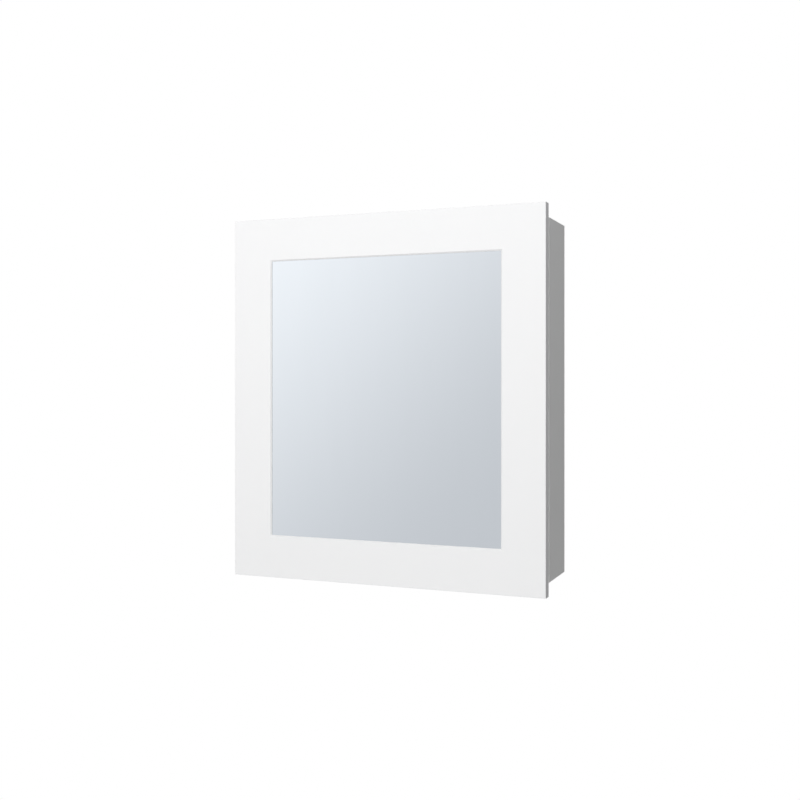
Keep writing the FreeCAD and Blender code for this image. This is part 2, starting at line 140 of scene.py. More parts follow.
class CabinetFittings(PropertyGroup):
    """Sizes of the cabinet's fittings and eased edges"""
    board_ease: length_property("Board edge ease", "Rounding of the case boards' edges", 0.4)
    band_ease: length_property("Edging ease", "Trimmed edges of the edging", 0.3)
    frame_width: length_property("Frame width", "Width of the door frame, with its bevel", 72.0)
    frame_bevel: length_property("Frame bevel", "Bevel of the door frame round the mirror", 2.2)
    bevel_ease: length_property("Bevel ease", "Rounding of the bevel's edges", 0.4)
    mirror_lap: length_property("Mirror lap", "How far the frame's lip covers the mirror's rebate", 10.0)
    frame_ease: length_property("Frame edge ease", "Rounding of the door frame's front edges", 1.2)
    frame_back_ease: length_property("Frame back ease", "Rounding of the door frame's back edges", 0.6)
    glass_ease: length_property("Glass edge ease", "Ground arris of the mirror", 0.6)
    metal_ease: length_property("Metal edge ease", "Tumbled edges of stamped metal", 0.15)
    clip_gauge: length_property("Clip gauge", "Thickness of the mirror clips' strip", 1.2)
    clip_width: length_property("Clip width", "Width of the mirror clips", 14.0)
    clip_bend: length_property("Clip bend", "How far from a corner the mirror clips bend", 1.5)
    screw_diameter: length_property("Screw diameter", "Shank of every screw", 3.0)
    pan_head: length_property("Pan head", "Head diameter of the pan-head screws", 6.0)
    pan_height: length_property("Pan height", "Head height of the pan-head screws", 1.6)
    recess_length: length_property("Recess length", "Cross recess, tip to tip", 3.0)
    recess_width: length_property("Recess width", "Cross recess, width of a wing", 0.7)
    recess_depth: length_property("Recess depth", "Cross recess, depth", 0.7)
    cam_diameter: length_property("Cam diameter", "Cam fittings in the top and bottom boards", 14.6)
    cam_recess: length_property("Cam recess", "Cross recess of the cam fittings, tip to tip", 6.5)
    turn_seed: IntProperty(name="Turn seed", description="Where each recess stops turning", default=7)


class CabinetStudio(PropertyGroup):
    """Camera and light"""
    camera_place: place_property("Camera place", "Where the camera stands", (0.682, -1.7196, 0.031))
    camera_turn: FloatProperty(name="Camera turn", description="Turn of the level camera to the left",
                               default=math.radians(22.11), subtype="ANGLE", unit="ROTATION")
    lens: FloatProperty(name="Lens", description="Focal length on a 36 mm sensor, in millimetres",
                        default=47.86)
    lens_rise: FloatProperty(name="Lens rise", description="Shift that keeps the uprights upright",
                             default=-0.025)
    floor_drop: length_property("Floor drop", "From the cabinet's middle down to the floor", 1350.0)
    floor_radius: length_property("Floor radius", "Half the floor's width", 1750.0)
    floor_forward: length_property("Floor forward", "From the wall to the floor's middle", 750.0)
    floor: colour_property("Floor", "Seamless paper under the cabinet", "#fbfbfa")
    backdrop: colour_property("Backdrop", "What shows behind the cabinet", "#ffffff")
    dome_low: colour_property("Dome, low side", "Light from the right and below", "#38393b")
    dome_front: colour_property("Dome, front", "Light from straight in front", "#d0d1d3")
    dome_turn: colour_property("Dome, front turned", "Light from in front, right and below", "#fafafa")
    dome_high: colour_property("Dome, high side", "Light from the front, left and above", "#ffffff")
    high_gain: FloatProperty(name="High gain", description="Strength of the dome's high side", default=1.18)
    dome_far: colour_property("Dome, far side", "Light from straight left and straight above", "#b4b4b4")
    key_power: power_property("Key light", "Power of the soft light in front", 11.7)
    key_place: place_property("Key place", "Where the light in front hangs", (-0.16, -1.75, 1.0))
    side_power: power_property("Side light", "Power of the soft light on the right", 1.7)
    side_place: place_property("Side place", "Where the light on the right hangs", (1.0, -0.25, 0.95))
    back_power: power_property("Back light", "Power of the soft light behind", 12.0)
    back_place: place_property("Back place", "Where the light behind hangs", (-0.4, 1.6, 0.7))
    lamp_size: length_property("Lamp size", "Width of the soft lights", 1000.0)


# Node trees

# Sockets that share their name with others of their node go by number: a colour mix's share, colours and
# result, and a random value's limits and result
MIX_SHARE, MIX_ONE, MIX_OTHER, MIX_RESULT = 0, 6, 7, 2
RANDOM_LOW, RANDOM_HIGH, RANDOM_RESULT = 2, 3, 1


class Nodes:
    """A node tree being filled. Each method adds a node and gives one of its outputs."""

    def __init__(self, tree):
        self.tree = tree
        tree.nodes.clear()

    def add(self, kind, values=None, output=0):
        """Values set attributes or sockets. Another node's output is linked to the socket."""
        node = self.tree.nodes.new(kind)
        for name, value in (values or {}).items():
            if isinstance(value, NodeSocket):
                self.tree.links.new(value, node.inputs[name])
            elif isinstance(name, str) and hasattr(node, name):
                setattr(node, name, value)
            else:
                node.inputs[name].default_value = value
        return node.outputs[output] if node.outputs else None

    def mix(self, share, one, other, **settings):
        """A colour between two others."""
        return self.add("ShaderNodeMix", {"data_type": "RGBA", **settings, MIX_SHARE: share, MIX_ONE: one,
                                          MIX_OTHER: other}, MIX_RESULT)

    def ranged(self, value, start=(0.0, 1.0), end=(0.0, 1.0), **settings):
        """A value carried from its own range to another."""
        return self.add("ShaderNodeMapRange", {**settings, "From Min": start[0], "From Max": start[1],
                                               "To Min": end[0], "To Max": end[1], "Value": value})

    def maths(self, operation, one, other):
        return self.add("ShaderNodeMath", {"operation": operation, 0: one, 1: other})


# Materials

# Bands that a wave texture draws in a metre at a scale of one
WAVE_RATE = 20 / math.tau
WHITE = (1.0, 1.0, 1.0, 1.0)


def across(millimetres):
    """A texture's scale that makes its features this large."""
    return 1.0 / (millimetres * MM)


def toned(colour, share=1.0):
    return (*[channel * share for channel in colour], 1.0)


class Finish(Nodes):
    """A material being made, with patterns that follow the Object coordinates. Lengths are in millimetres."""

    def __init__(self, name, colour):
        material = bpy.data.materials.new(name)
        material.use_nodes = True
        super().__init__(material.node_tree)
        self.colour = colour
        self.place = self.add("ShaderNodeTexCoord", output="Object")

    def stretched(self, scale, turn=0.0):
        """The coordinates, scaled on each axis and turned in the plane of the wall."""
        return self.add("ShaderNodeMapping", {"Rotation": (0.0, turn, 0.0), "Scale": scale,
                                              "Vector": self.place})

    def noise(self, size, detail, place=None):
        return self.add("ShaderNodeTexNoise", {"Scale": across(size), "Detail": detail,
                                               "Vector": place or self.place}, "Fac")

    def cells(self, size, output="Distance", place=None, feature="F1"):
        return self.add("ShaderNodeTexVoronoi", {"feature": feature, "Scale": across(size),
                                                 "Vector": place or self.place}, output)

    def waves(self, size, direction, values=None):
        return self.add("ShaderNodeTexWave", {"bands_direction": direction, "Scale": across(size) / WAVE_RATE,
                                              "Vector": self.place, **(values or {})}, "Fac")

    def tones(self, share, low, high=1.0):
        """The finish's colour between two shares of its brightness."""
        return self.mix(share, toned(self.colour, low), toned(self.colour, high))

    def relief(self, height, strength, depth, invert=False):
        return self.add("ShaderNodeBump", {"invert": invert, "Strength": strength, "Distance": depth * MM,
                                           "Height": height})

    def coat(self, tone, gloss, relief=None, values=None, volume=None):
        """The surface, and what fills the shape if anything does."""
        values = {"Base Color": tone, "Roughness": gloss, **(values or {})}
        if relief:
            values["Normal"] = relief
        filled = {"Surface": self.add("ShaderNodeBsdfPrincipled", values)}
        if volume:
            filled["Volume"] = volume
        self.add("ShaderNodeOutputMaterial", filled)


def shared(make, colour):
    """The material that a function below describes, made once."""
    if make.__name__ not in bpy.data.materials:
        make(Finish(make.__name__, colour))
    return bpy.data.materials[make.__name__]


def satin_lacquer(finish):
    # Lacquer sprayed on sanded fibreboard: an even white with a soft sheen and a trace of orange peel.
    # The peel is about 1 mm across, and is drawn at 3 mm so that it shows.
    peel, mist = finish.noise(3.0, 1.0), finish.noise(140.0, 3.0)
    finish.coat(finish.tones(mist, 0.985), finish.ranged(mist, end=(0.32, 0.42)),
                finish.relief(peel, 0.05, 0.1), {"IOR": 1.5})


def melamine_facing(finish):
    # Printed paper pressed on chipboard under a textured plate: a flat white with a fine pearl and little
    # gloss. The pearl is about 0.5 mm, and is drawn at 1.5 mm so that it shows.
    pearl, sheet = finish.cells(1.5, feature="SMOOTH_F1"), finish.noise(80.0, 3.0)
    finish.coat(finish.tones(sheet, 0.98), finish.ranged(pearl, end=(0.42, 0.54)),
                finish.relief(pearl, 0.06, 0.1), {"IOR": 1.5})


def edging_strip(finish):
    # Extruded plastic edging, trimmed and buffed on the board: smoother and whiter than the facing.
    draw = finish.noise(4.0, 2.0)
    finish.coat(finish.tones(draw, 0.975), finish.ranged(draw, end=(0.28, 0.40)),
                finish.relief(draw, 0.04, 0.1), {"IOR": 1.52})


def bare_chipboard(finish):
    # Sawn chipboard: flakes of 2 to 3 mm in many tans, with pores between them and no gloss. The pores are
    # painted dark as shade in their hollows.
    flakes, pores = finish.cells(2.4, "Color"), finish.noise(1.2, 4.0)
    depth = finish.ranged(pores, start=(0.35, 0.5))
    # Painted shade: the colour drops to a third of itself where the relief sinks the pores
    tone = finish.mix(depth, toned(finish.colour, 0.3), finish.tones(flakes, 0.62, 1.2))
    finish.coat(tone, 0.85, finish.relief(depth, 0.5, 0.4), {"IOR": 1.5})


def screen_backed_hardboard(finish):
    # Wet-pressed hardboard: brown fibre with the print of the wire screen that it was pressed on. The
    # screen's grooves are darkened as painted shade.
    # The screen's wires are about 1.5 mm apart, and are drawn 4 mm apart so that they show.
    fibre, cloud = finish.noise(1.5, 5.0), finish.noise(60.0, 3.0)
    mesh = finish.maths("MULTIPLY", finish.waves(4.0, "X"), finish.waves(4.0, "Z"))
    aged = finish.mix(0.2, finish.tones(fibre, 0.62, 1.2), cloud, blend_type="MULTIPLY")
    # Painted shade: darker where the relief sinks the screen's grooves
    screen_print_and_shade = finish.mix(mesh, aged, toned(finish.colour, 0.62))
    finish.coat(screen_print_and_shade, finish.ranged(fibre, end=(0.5, 0.75)),
                finish.relief(mesh, 0.35, 0.3, invert=True), {"IOR": 1.5})


def painted_hardboard(finish):
    # Roller-coated hardboard: white paint with the roller's stipple and fibres just telling through it.
    stipple, cloud = finish.noise(2.5, 2.0), finish.noise(110.0, 3.0)
    finish.coat(finish.tones(cloud, 0.965), finish.ranged(stipple, end=(0.4, 0.58)),
                finish.relief(stipple, 0.12, 0.15), {"IOR": 1.5})


def sawn_fibreboard(finish):
    # Bare MDF: even tan fibre without grain, paler where it was sanded, with the saw's faint marks.
    fibre, cloud = finish.noise(1.0, 5.0), finish.noise(45.0, 4.0)
    saw = finish.waves(5.0, "X", {"Distortion": 2.0, "Detail": 3.0})
    sanded = finish.mix(0.6, finish.tones(fibre, 0.8, 1.15), cloud, blend_type="SOFT_LIGHT")
    finish.coat(sanded, 0.8, finish.relief(saw, 0.12, 0.2), {"IOR": 1.5})


def turned_beech(finish):
    # Beech rod: straight pale grain with short dark flecks along it.
    along = finish.stretched((0.12, 1.0, 1.0))
    grain, flecks = finish.noise(0.8, 4.0, along), finish.cells(1.4, place=along)
    finish.coat(finish.tones(grain, 0.75, 1.1), 0.6, finish.relief(flecks, 0.2, 0.1), {"IOR": 1.5})


def silvered_mirror(finish):
    # Silver behind float glass: a true reflection, cooled a little by the glass, with a trace of wiping.
    film = finish.noise(25.0, 4.0, finish.stretched((1.0, 1.0, 0.15), math.radians(35)))
    finish.coat(finish.tones(film, 0.985), finish.ranged(film, (0.4, 0.8), (0.0, 0.03)),
                values={"Metallic": 1.0})


def mirror_back_paint(finish):
    # Curtain-coated protective paint over the silver, run a little over the ground glass edge.
    flow = finish.noise(6.0, 3.0)
    finish.coat(finish.tones(flow, 0.85, 1.05), 0.45, finish.relief(flow, 0.1, 0.1), {"IOR": 1.5})


def float_glass(finish):
    # Clear float glass with ground edges: clear through its thickness, green along its length.
    film = finish.noise(35.0, 4.0)
    body = finish.add("ShaderNodeVolumeAbsorption", {"Color": toned(finish.colour), "Density": 9.0})
    finish.coat(WHITE, finish.ranged(film, (0.4, 0.8), (0.0, 0.06)),
                values={"Transmission Weight": 1.0, "IOR": 1.52}, volume=body)


def bright_nickel_plate(finish):
    # Bright nickel on rolled steel: a warm silver, with the strip's rolling lines dulled under the plate.
    # The lines are some hundredths of a millimetre, and are drawn at 0.6 mm so that they show.
    lines, haze = finish.noise(0.6, 3.0, finish.stretched((1.0, 1.0, 0.03))), finish.noise(9.0, 3.0)
    finish.coat(finish.tones(haze, 0.86), finish.ranged(lines, end=(0.14, 0.34)),
                finish.relief(lines, 0.06, 0.05), {"Metallic": 1.0})


def blue_zinc_plate(finish):
    # Barrel-plated zinc with a pale blue passivation: a cool satin grey, blotched blue and straw.
    blotch, grit = finish.noise(3.0, 3.0), finish.noise(0.5, 3.0)
    red, green, blue = finish.colour
    tone = finish.mix(blotch, (red * 0.8, green * 0.88, blue, 1.0), (red, green * 0.97, blue * 0.84, 1.0))
    finish.coat(tone, finish.ranged(grit, end=(0.26, 0.46)),
                finish.relief(grit, 0.1, 0.05), {"Metallic": 1.0})


def moulded_abs(finish):
    # ABS from a spark-eroded mould: a milky white with a fine even matt grain.
    grain, flow = finish.noise(0.5, 2.0), finish.noise(18.0, 2.0)
    finish.coat(finish.tones(flow, 0.96), 0.45, finish.relief(grain, 0.2, 0.05),
                {"IOR": 1.54, "Subsurface Weight": 0.08, "Subsurface Scale": 1.0 * MM})


def sintered_ferrite(finish):
    # Pressed and fired ferrite: a dull charcoal with ground faces, fine pits and paler chips.
    pits, chips = finish.cells(0.7), finish.noise(2.0, 5.0)
    finish.coat(finish.tones(chips, 0.7, 1.7), 0.62, finish.relief(pits, 0.3, 0.1), {"IOR": 1.9})


def clear_polyurethane(finish):
    # Cast soft polyurethane: water-clear and glossy, with a slight milk and dust on its crown.
    dust = finish.noise(1.0, 4.0)
    finish.coat(finish.tones(dust, 0.92), finish.ranged(dust, end=(0.08, 0.3)),
                values={"Transmission Weight": 0.85, "IOR": 1.48})


def closed_cell_foam(finish):
    # Thin foamed polyethylene strip: chalky white, with cells of about a quarter of a millimetre, darkened in
    # their hollows as painted shade.
    cells = finish.cells(0.25)
    # Painted shade: the colour is darker where the relief sinks the cells
    finish.coat(finish.tones(cells, 0.8), 0.9, finish.relief(cells, 0.4, 0.08), {"IOR": 1.45})


def seamless_paper(finish):
    # White background paper: a faint tooth and no gloss. What the camera sees of it is burnt out to pure
    # white, and what lights the cabinet isn't.
    seen = finish.add("ShaderNodeLightPath", output="Is Camera Ray")
    finish.coat(toned(finish.colour), 0.9, finish.relief(finish.noise(2.0, 3.0), 0.05, 0.2),
                {"Emission Color": WHITE, "Emission Strength": seen})


# Shapes

# Vertices nearer than MERGE are joined, and faces within LEVEL of one plane become one face
MERGE = 0.001 * MM
LEVEL = math.radians(0.2)
# Edges longer and sharper than these are eased, in this many steps
EASED_LENGTH = 4 * MM
EASED_ANGLE = math.radians(50)
EASE_STEPS = 2
SMOOTH_ANGLE = math.radians(32)
# Steps of a full turn, of a strip's bend and of a rounded edge
TURN_STEPS = 40
BEND_STEPS = 5
ARC_STEPS = 6


def merged(node):
    """A CAD node's shape with its loose triangles joined."""
    shape = bmesh.new()
    shape.from_mesh(frame["nodes"][node].data)
    bmesh.ops.remove_doubles(shape, verts=shape.verts[:], dist=MERGE)
    return shape


def solids_of(node):
    """Lowest corner, highest corner and middle of each separate solid of a CAD node."""
    shape = merged(node)
    left = set(shape.verts)
    boxes = []
    while left:
        solid, reached = set(), [left.pop()]
        while reached:
            corner = reached.pop()
            solid.add(corner)
            near = {edge.other_vert(corner) for edge in corner.link_edges} & left
            left -= near
            reached += near
        low = Vector([min(corner.co[axis] for corner in solid) for axis in range(3)])
        high = Vector([max(corner.co[axis] for corner in solid) for axis in range(3)])
        boxes.append((low, high, (low + high) / 2))
    shape.free()
    return sorted(boxes, key=lambda corners: tuple(corners[0]))


def linked(name, data):
    """An object at the origin, in the scene."""
    piece = bpy.data.objects.new(name, data)
    bpy.context.scene.collection.objects.link(piece)
    return piece


def new_piece(name, shape):
    """An object from a bmesh, which is used up."""
    mesh = bpy.data.meshes.new(name)
    shape.to_mesh(mesh)
    shape.free()
    return linked(name, mesh)


def settle(piece):
    """Make a piece's modifiers part of its mesh."""
    evaluated = piece.evaluated_get(bpy.context.evaluated_depsgraph_get())
    before, piece.data = piece.data, bpy.data.meshes.new_from_object(evaluated)
    piece.modifiers.clear()
    bpy.data.meshes.remove(before)


def smooth(piece):
    """Smooth curves and crisp corners, with the large faces kept flat."""
    piece.data.shade_smooth()
    piece.data.set_sharp_from_angle(angle=SMOOTH_ANGLE)
    weigh = piece.modifiers.new("weigh", "WEIGHTED_NORMAL")
    weigh.keep_sharp = True
    settle(piece)


def stand_for(piece, node, slot):
    """Show a piece in a CAD node's place, on the node's body."""
    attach(piece, frame["nodes"][node]["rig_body"])
    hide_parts(node)


def finished_copy(node, slot, finishes, ease=0.0, choose=None):
    """Show a CAD node's shape with eased edges, smooth curves and its finishes."""
    shape = merged(node)
    bmesh.ops.dissolve_limit(shape, angle_limit=LEVEL, verts=shape.verts[:], edges=shape.edges[:])
    if ease:
        sharp = [edge for edge in shape.edges if edge.is_manifold and edge.calc_length() > EASED_LENGTH
                 and edge.calc_face_angle() > EASED_ANGLE]
        bmesh.ops.bevel(shape, geom=sharp, offset=ease, segments=EASE_STEPS, profile=0.5, affect="EDGES",
                        clamp_overlap=True)
    for face in shape.faces:
        face.material_index = choose(face) if choose else 0
    piece = new_piece(node + "_finished", shape)
    # The shading that the node came with doesn't fit the eased shape
    for name in ("custom_normal", "sharp_face", "sharp_edge"):
        if name in piece.data.attributes:
            piece.data.attributes.remove(piece.data.attributes[name])
    for finish in finishes:
        piece.data.materials.append(finish)
    smooth(piece)
    stand_for(piece, node, slot)


def turned(outline, flat=None):
    """A closed shape turned about +Z from (radius, height) pairs in millimetres.

    With flat, the rings from that index on are cut level at that distance from the axis.
    """
    shape = bmesh.new()
    rings = []
    for index, (radius, height) in enumerate(outline):
        ring = []
        for step in range(TURN_STEPS if radius else 1):
            angle = math.tau * step / TURN_STEPS
            x = radius * math.cos(angle)
            if flat and index >= flat[0]:
                x = min(x, flat[1])
            ring.append(shape.verts.new((x * MM, radius * math.sin(angle) * MM, height * MM)))
        rings.append(ring)
    for low, high in zip(rings, rings[1:]):
        for step in range(TURN_STEPS):
            after = (step + 1) % TURN_STEPS
            corners = (low[step % len(low)], low[after % len(low)],
                       high[after % len(high)], high[step % len(high)])
            shape.faces.new(dict.fromkeys(corners))
    bmesh.ops.recalc_face_normals(shape, faces=shape.faces[:])
    return shape


def bent_strip(path, thickness, width, bend):
    """A strip of metal bent along a path of (x, z) pairs, in millimetres, with its width along Y."""
    middle = [Vector(path[0])]
    for before, corner, after in zip(path, path[1:], path[2:]):
        corner = Vector(corner)
        start = corner + (Vector(before) - corner).normalized() * bend
        end = corner + (Vector(after) - corner).normalized() * bend
        for step in range(BEND_STEPS + 1):
            share = step / BEND_STEPS
            middle.append(start.lerp(corner, share).lerp(corner.lerp(end, share), share))
    middle.append(Vector(path[-1]))
    shape = bmesh.new()
    sections = []
    for index, place in enumerate(middle):
        way = middle[min(index + 1, len(middle) - 1)] - middle[max(index - 1, 0)]
        across_way = Vector((-way.y, way.x)).normalized() * thickness / 2
        section = []
        for side, y in ((1, -1), (1, 1), (-1, 1), (-1, -1)):
            x, z = place + across_way * side
            section.append(shape.verts.new((x * MM, y * width / 2 * MM, z * MM)))
        sections.append(section)
    for one, other in zip(sections, sections[1:]):
        for corner in range(4):
            after = (corner + 1) % 4
            shape.faces.new((one[corner], one[after], other[after], other[corner]))
    shape.faces.new(sections[0])
    shape.faces.new(reversed(sections[-1]))
    bmesh.ops.recalc_face_normals(shape, faces=shape.faces[:])
    return shape


def arc(centre, radius, start, end):
    """Points of a round in a section, from one angle to another in degrees."""
    points = []
    for step in range(ARC_STEPS + 1):
        angle = math.radians(start + (end - start) * step / ARC_STEPS)
        points.append((centre[0] + radius * math.cos(angle), centre[1] + radius * math.sin(angle)))
    return points


def mitred_frame(half_width, half_height, section):
    """A section of (inset, y) pairs carried round a rectangle with mitred corners."""
    shape = bmesh.new()
    corners = ((-1, -1), (1, -1), (1, 1), (-1, 1))
    bars = [[shape.verts.new((x * (half_width - inset), y, z * (half_height - inset)))
             for inset, y in section] for x, z in corners]
    for index, bar in enumerate(bars):
        beyond = bars[(index + 1) % len(bars)]
        for step in range(len(section)):
            after = (step + 1) % len(section)
            shape.faces.new((bar[step], bar[after], beyond[after], beyond[step]))
    bmesh.ops.recalc_face_normals(shape, faces=shape.faces[:])
    return shape


# Pieces that repeat

# A recess is cut by two blocks, each this many depths high about the face. One is a little lower, because
# two floors on one level would cut badly.
WINGS = (("X", "Y", 2.0), ("Y", "X", 1.9))


def placing_tree(name, recessed):
    """Nodes that set a pattern on every place, facing the way that the place says.

    If it is recessed, a cross is cut into the pattern first.
    """
    tree = bpy.data.node_groups.new(name, "GeometryNodeTree")
    sockets = [("Places", "Geometry"), ("Pattern", "Object"), ("Finish", "Material"),
               ("Turn spread", "Float"), ("Turn seed", "Int")]
    if recessed:
        sockets += [("Recess length", "Float"), ("Recess width", "Float"), ("Recess depth", "Float"),
                    ("Recess face", "Float")]
    for label, kind in sockets:
        tree.interface.new_socket(name=label, in_out="INPUT", socket_type="NodeSocket" + kind)
    tree.interface.new_socket(name="Pieces", in_out="OUTPUT", socket_type="NodeSocketGeometry")
    nodes = Nodes(tree)
    given = tree.nodes.new("NodeGroupInput").outputs
    pattern = nodes.add("GeometryNodeObjectInfo", {"Object": given["Pattern"]}, "Geometry")
    if recessed:
        face = nodes.add("ShaderNodeCombineXYZ", {"Z": given["Recess face"]})
        for along, beside, depths in WINGS:
            size = nodes.add("ShaderNodeCombineXYZ", {
                along: given["Recess length"], beside: given["Recess width"],
                "Z": nodes.maths("MULTIPLY", given["Recess depth"], depths)})
            wing = nodes.add("GeometryNodeMeshCube", {"Size": size}, "Mesh")
            lifted = nodes.add("GeometryNodeTransform", {"Geometry": wing, "Translation": face})
            pattern = nodes.add("GeometryNodeMeshBoolean", {"operation": "DIFFERENCE", "Mesh 1": pattern,
                                                            "Mesh 2": lifted}, "Mesh")
        pattern = nodes.add("GeometryNodeMergeByDistance", {"Distance": MERGE, "Geometry": pattern})
    facing = nodes.add("GeometryNodeInputNamedAttribute", {"data_type": "FLOAT_VECTOR", "Name": "facing"})
    turn = nodes.add("GeometryNodeInputNamedAttribute", {"data_type": "FLOAT", "Name": "turn"})
    stray = nodes.add("FunctionNodeRandomValue", {
        "data_type": "FLOAT", RANDOM_LOW: 0.0, RANDOM_HIGH: given["Turn spread"],
        "Seed": given["Turn seed"]}, RANDOM_RESULT)
    spin = nodes.add("FunctionNodeAxisAngleToRotation", {"Axis": UPWARDS,
                                                         "Angle": nodes.maths("ADD", turn, stray)})
    aim = nodes.add("FunctionNodeAlignRotationToVector", {"axis": "Z", "Rotation": spin, "Vector": facing})
    copies = nodes.add("GeometryNodeInstanceOnPoints", {"Points": given["Places"], "Instance": pattern,
                                                        "Rotation": aim})
    real = nodes.add("GeometryNodeRealizeInstances", {"Geometry": copies})
    finished = nodes.add("GeometryNodeSetMaterial", {"Geometry": real, "Material": given["Finish"]})
    nodes.add("NodeGroupOutput", {"Pieces": finished})
    return tree


def set_on_places(node, slot, shape, places, finish, seed=0, recess=None):
    """Show copies of a shape for a CAD node: places are (point, way that it faces, turn) triples."""
    name = "driven_fasteners" if recess else "set_fittings"
    tree = bpy.data.node_groups.get(name) or placing_tree(name, bool(recess))
    pattern = new_piece(node + "_pattern", shape)
    mesh = bpy.data.meshes.new(node + "_places")
    mesh.from_pydata([point for point, way, turn in places], [], [])
    facing = mesh.attributes.new("facing", "FLOAT_VECTOR", "POINT")
    facing.data.foreach_set("vector", [share for point, way, turn in places for share in way])
    turning = mesh.attributes.new("turn", "FLOAT", "POINT")
    turning.data.foreach_set("value", [turn for point, way, turn in places])
    piece = linked(node + "_finished", mesh)
    inputs = {"Pattern": pattern, "Finish": finish, "Turn spread": math.tau if recess else 0.0,
              "Turn seed": seed, **(recess or {})}
    modifier = piece.modifiers.new("places", "NODES")
    modifier.node_group = tree
    for socket in tree.interface.items_tree:
        if socket.in_out == "INPUT" and socket.name in inputs:
            modifier[socket.identifier] = inputs[socket.name]
    settle(piece)
    smooth(piece)
    if not piece.data.polygons:
        raise RuntimeError(node + " came out empty")
    bpy.data.objects.remove(pattern)
    stand_for(piece, node, slot)


# Where a finish goes on a board

# A face nearer than SKIN to a board's outside is faced, and one with a lower Y normal than FRONT is its front
SKIN = 0.5 * MM
FRONT = -0.9


def bare_core(node, axes):
    """Chooses the second finish where a board's core is bare: away from its faces along these axes."""
    low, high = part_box(node)

    def choose(face):
        middle = face.calc_center_median()
        return int(all(low[axis] + SKIN < middle[axis] < high[axis] - SKIN for axis in axes))
    return choose


def facing_front(face):
    """Chooses the first finish on the face towards the room and the second elsewhere."""
    return 0 if face.normal.y < FRONT else 1


# Screws, in millimetres

TIP_LENGTH, TIP_BLUNT, TIP_SHARE = 2.5, 0.5, 0.3
# Eased edges of the heads: how far inwards and how far along the screw
PAN_EDGE, PAN_RISE = 0.1, 0.12
FLAT_EDGE, FLAT_RISE = 0.12, 0.08
# Crown of a pan head, in shares of its radius and height
PAN_CROWN = ((1.0, 0.35), (0.93, 0.62), (0.76, 0.85), (0.45, 0.97), (0.0, 1.0))
# Countersunk screws: length, radius of the head and depth of its cone
HINGE_SCREW = (14.0, 2.4, 0.9)
STRIKE_SCREW = (13.0, 2.7, 1.2)
CATCH_SCREW_LENGTH = 14.0
CLIP_SCREW_LENGTH = 10.0


def cross_recess(sizes, face, length=None):
    return {"Recess length": length or sizes.recess_length, "Recess width": sizes.recess_width,
            "Recess depth": sizes.recess_depth, "Recess face": face}


def screw_shank(sizes, length):
    """Radius of a screw's shank, and its outline from the tip."""
    shank = sizes.screw_diameter / 2 / MM
    return shank, [(0, -length), (shank * TIP_SHARE, TIP_BLUNT - length), (shank, TIP_LENGTH - length)]


def pan_head_screw(sizes, length):
    """A pan-head screw with its seat at the origin and its head upwards."""
    shank, outline = screw_shank(sizes, length)
    head, height = sizes.pan_head / 2 / MM, sizes.pan_height / MM
    crown = [(head * wide, height * up) for wide, up in PAN_CROWN]
    return turned(outline + [(shank, 0), (head - PAN_EDGE, 0), (head, PAN_RISE)] + crown)


def flat_head_screw(sizes, length, head, sink):
    """A countersunk screw with its face at the origin."""
    shank, outline = screw_shank(sizes, length)
    return turned(outline + [(shank, -sink), (head - FLAT_RISE, -FLAT_RISE), (head - FLAT_EDGE, 0), (0, 0)])


# Operators, one for each group of pieces and one for the studio

class PieceOperator:
    """Makes a group of pieces from the scene's finishes and sizes"""

    def execute(self, context):
        self.make(context.scene.cabinet_finishes, context.scene.cabinet_fittings)
        return {"FINISHED"}


class CABINET_OT_case_boards(PieceOperator, Operator):
    """Melamine boards with bare backs and bores, and the edging on their fronts"""
    bl_idname = "cabinet.case_boards"
    bl_label = "Case boards"

    def make(self, colours, sizes):
        board = (shared(melamine_facing, colours.melamine), shared(bare_chipboard, colours.chipboard))
        for node, axes in (("side_panel_left", (0, 2)), ("side_panel_right", (0, 2)),
                           ("top_panel", (2,)), ("bottom_panel", (2,))):
            finished_copy(node, "white_melamine", board, sizes.board_ease, bare_core(node, axes))
        band = (shared(edging_strip, colours.edging),)
        for edge in ("left", "right", "top", "bottom"):
            finished_copy("edge_band_" + edge, "white_edging", band, sizes.band_ease)


class CABINET_OT_back_and_rails(PieceOperator, Operator):
    """Hardboard back, painted towards the room, and the rails that take the wall screws"""
    bl_idname = "cabinet.back_and_rails"
    bl_label = "Back and wall rails"

    def make(self, colours, sizes):
        sheet = (shared(painted_hardboard, colours.painted_hardboard),
                 shared(screen_backed_hardboard, colours.hardboard))
        finished_copy("back_panel", "white_hardboard", sheet, choose=facing_front)
        rail = (shared(sawn_fibreboard, colours.mdf),)
        for node in ("hanging_rail_upper", "hanging_rail_lower"):
            finished_copy(node, "raw_board", rail, sizes.board_ease)


class CABINET_OT_joint_fittings(PieceOperator, Operator):
    """Dowels, cam bolts and the cams that show on the top and bottom boards"""
    bl_idname = "cabinet.joint_fittings"
    bl_label = "Joint fittings"

    def make(self, colours, sizes):
        beech, zinc = shared(turned_beech, colours.beech), shared(blue_zinc_plate, colours.zinc)
        finished_copy("panel_dowels", "beech", (beech,))
        finished_copy("rail_dowels", "beech", (beech,))
        finished_copy("cam_bolts", "zinc_steel", (zinc,))

        solids = solids_of("cam_locks")
        deep = (solids[0][1] - solids[0][0]).z / MM
        radius = sizes.cam_diameter / 2 / MM
        # In millimetres: the eased edge, the rim, and the dish's slope and depth
        edge, rim, slope, dish = 0.25, 1.1, 0.4, 0.5
        recess_width, recess_depth = 1.3, 2.0
        cam = turned([(0, -deep), (radius, -deep), (radius, -edge), (radius - edge, 0), (radius - rim, 0),
                      (radius - rim - slope, -dish), (0, -dish)])
        places = []
        for low, high, middle in solids:
            level, way = (high.z, UPWARDS) if middle.z > 0 else (low.z, DOWNWARDS)
            places.append(((middle.x, middle.y, level), way, 0.0))
        recess = cross_recess(sizes, -dish * MM, sizes.cam_recess)
        recess.update({"Recess width": recess_width * MM, "Recess depth": recess_depth * MM})
        set_on_places("cam_locks", "zinc_steel", cam, places, zinc, sizes.turn_seed, recess)


